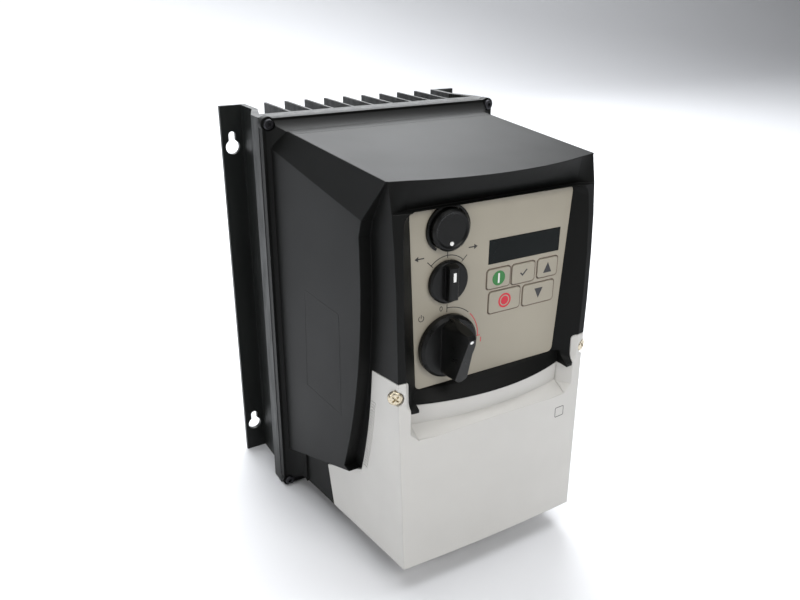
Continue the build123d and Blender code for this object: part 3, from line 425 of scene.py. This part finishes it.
LOOKS = {
    "heatsink": heatsink_look(),
    "housing": housing_look(),
    "cover": moulded("cover moulding", COVER_COLOUR, 0.5, 0.5 * MM, 0.02 * MM, 0.7 * MM, 0.02),
    "panel": panel_look(),
    "key": panel_look("key film"),
    "window": window_look(),
    "knob": knob_look(),
    "rubber": rubber_look(),
    "board": board_look(),
    "winding": winding_look(),
    "sleeve": sleeve_look(),
    "dark screw": metal("blackened screw", (0.055, 0.055, 0.06), 0.42),
    "bright screw": metal("plated screw", (0.70, 0.62, 0.47), 0.27),
    "steel": metal("steel", (0.56, 0.55, 0.53), 0.33),
    "black part": moulded("black part", (0.028, 0.028, 0.03), 0.45, PART_GRAIN, PART_RELIEF),
    "grey part": moulded("grey part", (0.24, 0.24, 0.245), 0.5, PART_GRAIN, PART_RELIEF),
    "green part": moulded("terminal plastic", (0.03, 0.2, 0.08), 0.45, PART_GRAIN, PART_RELIEF),
    "label edge": ink("label outline", (0.006, 0.006, 0.006), 0.7),
    "black ink": ink("black ink", (0.018, 0.016, 0.015)),
    "brown ink": ink("outline ink", (0.13, 0.08, 0.06)),
    "red ink": ink("red ink", (0.60, 0.012, 0.035)),
    "green ink": ink("green ink", (0.025, 0.19, 0.04)),
    "grey ink": ink("grey ink", (0.03, 0.03, 0.034)),
    "white ink": ink("white ink", (0.86, 0.86, 0.84)),
    "floor": floor_look(),
}

NODE_LOOKS = {
    "heatsink": "heatsink",
    "rim_gasket": "rubber",
    "enclosure": "housing",
    "corner_screws": "dark screw",
    "terminal_cover": "cover",
    "cover_screw_left": "bright screw",
    "cover_screw_right": "bright screw",
    "cover_seal": "rubber",
    "control_panel": "panel",
    "display_window": "window",
    "display_module": "black part",
    "keypad_board": "board",
    "key_switches": "black part",
    "pot_collar": "knob",
    "pot_knob": "knob",
    "pot_shaft": "steel",
    "pot_body": "steel",
    "selector_knob": "knob",
    "selector_shaft": "black part",
    "selector_switch": "grey part",
    "isolator_knob": "knob",
    "isolator_shaft": "steel",
    "isolator_switch": "grey part",
    "isolator_screws": "steel",
    "entry_plugs": "black part",
    "entry_seals": "rubber",
    "power_board": "board",
    "power_board_standoffs": "steel",
    "power_board_screws": "steel",
    "power_module": "black part",
    "bus_capacitors": "sleeve",
    "filter_choke": "winding",
    "relay": "black part",
    "control_board": "board",
    "control_board_standoffs": "steel",
    "ribbon_cable": "grey part",
    "power_terminals": "green part",
    "power_terminal_screws": "steel",
    "control_terminals": "green part",
    "network_socket": "black part",
    "earth_screws": "steel",
    "key_start": "key",
    "key_ok": "key",
    "key_up": "key",
    "key_stop": "key",
    "key_down": "key",
}


def dress_nodes():
    """Gives each CAD piece its material."""
    for node, look in NODE_LOOKS.items():
        materials = NODES[node].data.materials
        materials.clear()
        materials.append(LOOKS[look])


# ------------------------------------------------------------------ printed and small pieces

INK_T = 0.05 * MM  # how far ink stands proud of its surface
SUNK = 0.03 * MM  # how far a laid-on piece reaches into its surface
LINE = 0.42 * MM  # width of a printed scale line
CIRCLE_STEPS = 40
ZERO_STEPS = 28
DOT_STEPS = 28

RAY_FRONT_Y = -0.4
RAY_SIDE_X = 0.2
TO_REAR = Vector((0, 1, 0))


def middle_of(node):
    """Centre of a CAD piece across and up, in metres."""
    low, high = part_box(node)
    return (low[0] + high[0]) / 2, (low[2] + high[2]) / 2


def front_of(node):
    """Foremost depth of a CAD piece."""
    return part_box(node)[0][1]


def shifted(centre, right, up):
    """The point that lies some millimetres to the right of and above another."""
    return centre[0] + right * MM, centre[1] + up * MM


def add_mesh(name, verts, faces, look, body):
    """A mesh piece that rides on a body."""
    mesh = bpy.data.meshes.new(name)
    mesh.from_pydata(verts, [], faces)
    mesh.validate()
    for face in mesh.polygons:
        face.use_smooth = False
    piece = bpy.data.objects.new(name, mesh)
    bpy.context.scene.collection.objects.link(piece)
    mesh.materials.append(LOOKS[look])
    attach(piece, body)


def prism_faces(count):
    """Faces of a prism: its low points come first, then its high ones."""
    faces = [tuple(reversed(range(count))), tuple(range(count, 2 * count))]
    for index in range(count):
        after = (index + 1) % count
        faces.append((index, after, after + count, index + count))
    return faces


def strip_faces(count, closed=True):
    """Faces of a thick strip, from its low inner, low outer, high inner and high outer points."""
    faces = []
    last = count if closed else count - 1
    for index in range(last):
        after = (index + 1) % count
        a, b = index, after
        c, d = index + count, after + count
        e, f = a + 2 * count, b + 2 * count
        g, h = c + 2 * count, d + 2 * count
        faces.append((a, b, d, c))
        faces.append((e, g, h, f))
        faces.append((a, e, f, b))
        faces.append((c, d, h, g))
    if not closed:
        end = count - 1
        faces.append((0, count, 3 * count, 2 * count))
        faces.append((end, end + 2 * count, end + 3 * count, end + count))
    return faces


def prism(name, outline, y, look, body, thickness=INK_T):
    """Flat shape on a surface that faces the front, from its outline in x and z."""
    verts = [(x, y + SUNK, z) for x, z in outline]
    verts += [(x, y - thickness, z) for x, z in outline]
    add_mesh(name, verts, prism_faces(len(outline)), look, body)


def band(name, inner, outer, y, look, body, closed=False):
    """Flat strip between two rows of points."""
    verts = []
    for depth in (y + SUNK, y - INK_T):
        verts += [(x, depth, z) for x, z in inner]
        verts += [(x, depth, z) for x, z in outer]
    add_mesh(name, verts, strip_faces(len(inner), closed), look, body)


def arc(centre, radius, start, end, steps=32):
    """Points round a centre. Angles are in degrees, clockwise from straight up."""
    points = []
    for step in range(steps + 1):
        angle = math.radians(start + (end - start) * step / steps)
        x = centre[0] + radius * math.sin(angle)
        z = centre[1] + radius * math.cos(angle)
        points.append((x, z))
    return points


def circle(centre, radius, steps=CIRCLE_STEPS):
    """Points of a full circle, each one once."""
    return arc(centre, radius, 0.0, 360.0, steps)[:-1]


def arc_line(name, centre, radius, start, end, width, look):
    """Curved line printed on the panel."""
    inner = arc(centre, radius - width / 2, start, end)
    outer = arc(centre, radius + width / 2, start, end)
    band(name, inner, outer, PANEL_FRONT, look, "drive")


def ring(name, centre, low_r, high_r, y, look, body):
    """Flat ring."""
    band(name, circle(centre, low_r), circle(centre, high_r), y, look, body, closed=True)


def disc(name, centre, radius, y, look, body, thickness=INK_T):
    """Flat disc."""
    outline = list(reversed(circle(centre, radius)))
    prism(name, outline, y, look, body, thickness)


def tick(name, centre, low_r, high_r, angle, width, look):
    """Radial line at one angle, printed on the panel."""
    turn = math.radians(angle)
    out = (math.sin(turn), math.cos(turn))
    side = (math.cos(turn) * width / 2, -math.sin(turn) * width / 2)
    outline = []
    for radius, sign in ((low_r, -1), (low_r, 1), (high_r, 1), (high_r, -1)):
        x = centre[0] + out[0] * radius + sign * side[0]
        z = centre[1] + out[1] * radius + sign * side[1]
        outline.append((x, z))
    prism(name, outline, PANEL_FRONT, look, "drive")


def bar(name, x0, x1, z0, z1, y, look, body):
    """Flat rectangle."""
    prism(name, [(x0, z0), (x1, z0), (x1, z1), (x0, z1)], y, look, body)


def rounded(x0, x1, z0, z1, radius, steps=6):
    """Outline of a rounded rectangle, anticlockwise."""
    points = []
    corners = (
        (x1 - radius, z1 - radius, 0),
        (x0 + radius, z1 - radius, 90),
        (x0 + radius, z0 + radius, 180),
        (x1 - radius, z0 + radius, 270),
    )
    for cx, cz, start in corners:
        for step in range(steps + 1):
            angle = math.radians(start + 90.0 * step / steps)
            points.append((cx + radius * math.cos(angle), cz + radius * math.sin(angle)))
    return points


PANEL_FRONT = front_of("control_panel")


def print_dial():
    """Dot on the speed dial, sunk into its face."""
    centre = middle_of("pot_knob")
    drop = 6.4 * MM
    radius = 0.98 * MM
    depth = 1.3 * MM
    height = 1.25 * MM
    place = (centre[0], centre[1] - drop)
    y = front_of("pot_knob") + depth
    disc("dial_dot", place, radius, y, "white ink", "speed_dial", height)


def print_selector():
    """Scale of the direction selector and the marker on its bar."""
    centre = middle_of("selector_shaft")
    look = "black ink"
    reach = 45.0
    arc_line("selector_arc", centre, 12.8 * MM, -reach, reach, LINE, look)
    tick_low = 11.6 * MM
    for index, (angle, tick_high) in enumerate(((-reach, 15.8), (0.0, 15.0), (reach, 15.8))):
        name = f"selector_tick_{index + 1}"
        tick(name, centre, tick_low, tick_high * MM, angle, LINE, look)
    zero_glyph("selector_zero", shifted(centre, 0.0, 17.2), look)
    arrow("selector_reverse", shifted(centre, -15.6, 13.6), -1, look)
    arrow("selector_forward", shifted(centre, 14.6, 14.6), 1, look)
    x0, z0 = shifted(centre, -0.8, 1.6)
    x1, z1 = shifted(centre, 0.8, 6.0)
    y = front_of("selector_knob")
    bar("selector_marker", x0, x1, z0, z1, y, "white ink", "direction_selector")


def zero_glyph(name, centre, look):
    """Narrow figure nought, printed on the panel."""
    outer = []
    inner = []
    for x, z in circle((0.0, 0.0), 1.0, ZERO_STEPS):
        outer.append(shifted(centre, x * 0.85, z * 1.3))
        inner.append(shifted(centre, x * 0.52, z * 0.95))
    band(name, inner, outer, PANEL_FRONT, look, "drive", closed=True)


def arrow(name, centre, side, look):
    """Small arrow that points to one side, printed on the panel as a head and a stem."""
    cx, cz = centre
    tip, neck, tail = 2.6 * MM, 0.6 * MM, -2.6 * MM
    wide, thin = 1.3 * MM, 0.28 * MM
    corners = ((tip, 0.0), (neck, wide), (neck, -wide))
    head = [(cx + side * x, cz + z) for x, z in corners]
    prism(name + "_head", head, PANEL_FRONT, look, "drive")
    x0, x1 = sorted((cx + side * tail, cx + side * neck))
    bar(name + "_stem", x0, x1, cz - thin, cz + thin, PANEL_FRONT, look, "drive")


def print_isolator():
    """Scale of the isolator, off at the top and on to the right, and the power sign."""
    centre = middle_of("isolator_shaft")
    radius = 19.2 * MM
    off_angle, on_angle = 0.0, 90.0
    off_end, on_start = 42.0, 46.0
    arc_line("isolator_arc_off", centre, radius, off_angle, off_end, LINE, "black ink")
    arc_line("isolator_arc_on", centre, radius, on_start, on_angle, LINE, "red ink")
    tick("isolator_tick_off", centre, 16.9 * MM, 21.2 * MM, off_angle, LINE, "black ink")
    tick("isolator_tick_on", centre, 17.4 * MM, 20.6 * MM, on_angle, LINE, "red ink")
    zero_glyph("isolator_zero", shifted(centre, -3.4, 19.4), "black ink")
    one_x, one_z = shifted(centre, 21.2, -2.6)
    half_wide, half_tall = 0.22 * MM, 1.3 * MM
    x0, x1 = one_x - half_wide, one_x + half_wide
    z0, z1 = one_z - half_tall, one_z + half_tall
    bar("isolator_one", x0, x1, z0, z1, PANEL_FRONT, "red ink", "drive")
    power = shifted(centre, -14.6, 16.6)
    power_line = 0.36 * MM
    opening = 35.0
    ring_r = 1.45 * MM
    arc_line("power_sign_ring", power, ring_r, opening, 360.0 - opening, power_line, "black ink")
    tick("power_sign_bar", power, 0.2 * MM, 2.0 * MM, 0.0, power_line, "black ink")


def node_tree(node):
    """Search tree of a CAD piece's surface."""
    mesh = NODES[node].data
    verts = [vertex.co for vertex in mesh.vertices]
    faces = [tuple(face.vertices) for face in mesh.polygons]
    return BVHTree.FromPolygons(verts, faces)


def from_front(tree, x, z):
    """Point and normal where a line from the front meets a piece."""
    hit, normal, _, _ = tree.ray_cast(Vector((x, RAY_FRONT_Y, z)), TO_REAR)
    return hit, normal


def side_surface(tree, side, y, z):
    """Outermost x of a piece at a depth and height, on one side."""
    hit = tree.ray_cast(Vector((side * RAY_SIDE_X, y, z)), Vector((-side, 0, 0)))[0]
    return hit[0]


def blade_dot():
    """White dot near the high end of the isolator blade, flat on its slope."""
    cx, cz = middle_of("isolator_shaft")
    rise = 9.6 * MM
    radius = 0.95 * MM
    hit, normal = from_front(node_tree("isolator_knob"), cx, cz + rise)
    turn = Vector((0, 0, 1)).rotation_difference(normal).to_matrix().to_4x4()
    place = Matrix.Translation(hit) @ turn
    verts = []
    for depth in (-SUNK, INK_T):
        for step in range(DOT_STEPS):
            angle = 2.0 * math.pi * step / DOT_STEPS
            local = Vector((radius * math.cos(angle), radius * math.sin(angle), depth))
            verts.append(tuple(place @ local))
    add_mesh("isolator_dot", verts, prism_faces(DOT_STEPS), "white ink", "isolator_handle")


def grown(low, high, margin, radius):
    """Rounded outline that stands clear of a box by a margin."""
    x0, x1 = low[0] - margin, high[0] + margin
    z0, z1 = low[2] - margin, high[2] + margin
    return rounded(x0, x1, z0, z1, radius)


def key_outlines():
    """Thin printed line round each key."""
    near, far = 0.34 * MM, 0.62 * MM
    for key in ("key_start", "key_ok", "key_up", "key_stop", "key_down"):
        low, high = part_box(key)
        inner = grown(low, high, near, 1.7 * MM)
        outer = grown(low, high, far, 2.0 * MM)
        band(key + "_outline", inner, outer, PANEL_FRONT, "brown ink", "drive", closed=True)


def key_signs():
    """Signs on the keys: start, stop, confirm, up and down."""
    y = front_of("key_start")
    sign_r = 3.9 * MM
    centre = middle_of("key_start")
    disc("start_sign", centre, sign_r, y, "green ink", "start_key")
    x0, z0 = shifted(centre, -0.5, -2.6)
    x1, z1 = shifted(centre, 0.5, 2.6)
    bar("start_bar", x0, x1, z0, z1, y - INK_T, "white ink", "start_key")
    centre = middle_of("key_stop")
    ring("stop_sign_ring", centre, 2.95 * MM, sign_r, y, "red ink", "stop_key")
    disc("stop_sign", centre, 2.3 * MM, y, "red ink", "stop_key")
    half, tall = 2.7, 2.8
    centre = middle_of("key_up")
    corners = ((-half, -tall), (half, -tall), (0.0, tall))
    triangle = [shifted(centre, x, z) for x, z in corners]
    prism("up_sign", triangle, y, "grey ink", "up_key")
    centre = middle_of("key_down")
    corners = ((0.0, -tall), (half, tall), (-half, tall))
    triangle = [shifted(centre, x, z) for x, z in corners]
    prism("down_sign", triangle, y, "grey ink", "down_key")
    centre = middle_of("key_ok")
    short = ((-2.2, 0.1), (-0.6, -1.6), (-0.6, -0.5), (-1.7, 0.6))
    long = ((-0.6, -1.6), (2.4, 1.5), (1.9, 2.0), (-0.6, -0.5))
    for name, corners in (("confirm_sign_short", short), ("confirm_sign_long", long)):
        outline = [shifted(centre, x, z) for x, z in corners]
        prism(name, outline, y, "grey ink", "ok_key")


def on_side(name, tree, side, loops, look, body, proud):
    """Strip on a side face between two closed loops of depth and height."""
    inner, outer = loops
    verts = []
    for lift in (-SUNK, proud):
        for y, z in inner + outer:
            verts.append((side_surface(tree, side, y, z) + side * lift, y, z))
    faces = strip_faces(len(inner))
    if side > 0:
        faces = [tuple(reversed(face)) for face in faces]
    add_mesh(name, verts, faces, look, body)


# Corners of the plain label on a side pod: depth and height over the floor, in millimetres
SIDE_LABEL = ((-86.7, 146.4), (-123.7, 145.5), (-123.7, 87.1), (-84.6, 87.4))
SIDES = ((-1, "left"), (1, "right"))


def side_labels():
    """Outline of the plain label on each side pod."""
    tree = node_tree("enclosure")
    outer = [(y * MM, FLOOR_Z + z * MM) for y, z in SIDE_LABEL]
    cy = sum(y for y, _ in outer) / len(outer)
    cz = sum(z for _, z in outer) / len(outer)
    line = 0.35 * MM
    proud = 0.06 * MM
    inner = []
    for y, z in outer:
        inner.append((y - math.copysign(line, y - cy), z - math.copysign(line, z - cz)))
    for side, word in SIDES:
        on_side(f"label_edge_{word}", tree, side, (inner, outer), "label edge", "drive", proud)


# Rear edge of the cover's side, where it meets the pod, in millimetres: its depth at the bottom,
# its heights at both ends, how far it runs forward and how far it bows
RIB_LOW_Y = -131.6
RIB_LOW_Z = 55.4
RIB_HIGH_Z = 121.6
RIB_RUN = 12.6
RIB_BOW = 7.9
RIB_COUNT = 24
RIB_PITCH = 1.9
RIB_FIRST_Z = 60.0
RIB_HALF = 0.45
RIB_REAR = 0.9
RIB_FRONT = 4.6
# Height of a rib over the cover at its rear foot, rear top, front top and front foot
RIB_LIFTS = (-0.03, 0.27, 0.15, -0.03)
RIB_QUADS = ((0, 2, 3, 1), (2, 4, 5, 3), (4, 6, 7, 5), (6, 0, 1, 7), (0, 6, 4, 2), (1, 3, 5, 7))


def grip_ribs():
    """Row of fine ribs on each side of the cover, along the front of the pod."""
    tree = node_tree("terminal_cover")
    for side, word in SIDES:
        verts = []
        faces = []
        for index in range(RIB_COUNT):
            z = RIB_FIRST_Z + index * RIB_PITCH
            share = (z - RIB_LOW_Z) / (RIB_HIGH_Z - RIB_LOW_Z)
            edge = RIB_LOW_Y - RIB_RUN * share - RIB_BOW * share * (1.0 - share)
            rear, front = edge - RIB_REAR, edge - RIB_FRONT
            start = len(verts)
            for y, lift in zip((rear, rear, front, front), RIB_LIFTS):
                for dz in (-RIB_HALF, RIB_HALF):
                    y_m = y * MM
                    z_m = FLOOR_Z + (z + dz) * MM
                    x = side_surface(tree, side, y_m, z_m)
                    verts.append((x + side * lift * MM, y_m, z_m))
            for quad in RIB_QUADS:
                faces.append(tuple(start + corner for corner in quad))
        add_mesh(f"cover_ribs_{word}", verts, faces, "cover", "cover")


def cover_sign():
    """Small plain outlined tag near the right edge of the cover."""
    tree = node_tree("terminal_cover")
    x0, x1 = 40.5 * MM, 47.0 * MM
    z0, z1 = FLOOR_Z + 77.5 * MM, FLOOR_Z + 83.5 * MM
    line = 0.35 * MM
    corner_steps = 3
    inner = rounded(x0 + line, x1 - line, z0 + line, z1 - line, 0.5 * MM, corner_steps)
    outer = rounded(x0, x1, z0, z1, 0.8 * MM, corner_steps)
    verts = []
    for lift in (SUNK, -INK_T):
        for x, z in inner + outer:
            hit, _ = from_front(tree, x, z)
            verts.append((x, hit[1] + lift, z))
    add_mesh("cover_tag", verts, strip_faces(len(inner)), "grey ink", "cover")


def add_details():
    """All printed marks and small pieces."""
    print_dial()
    print_selector()
    print_isolator()
    blade_dot()
    key_outlines()
    key_signs()
    side_labels()
    grip_ribs()
    cover_sign()


# ------------------------------------------------------------------ scene

add_camera()
add_world()
for light in LIGHTS:
    add_light(*light)
add_floor(LOOKS["floor"])
dress_nodes()
add_details()
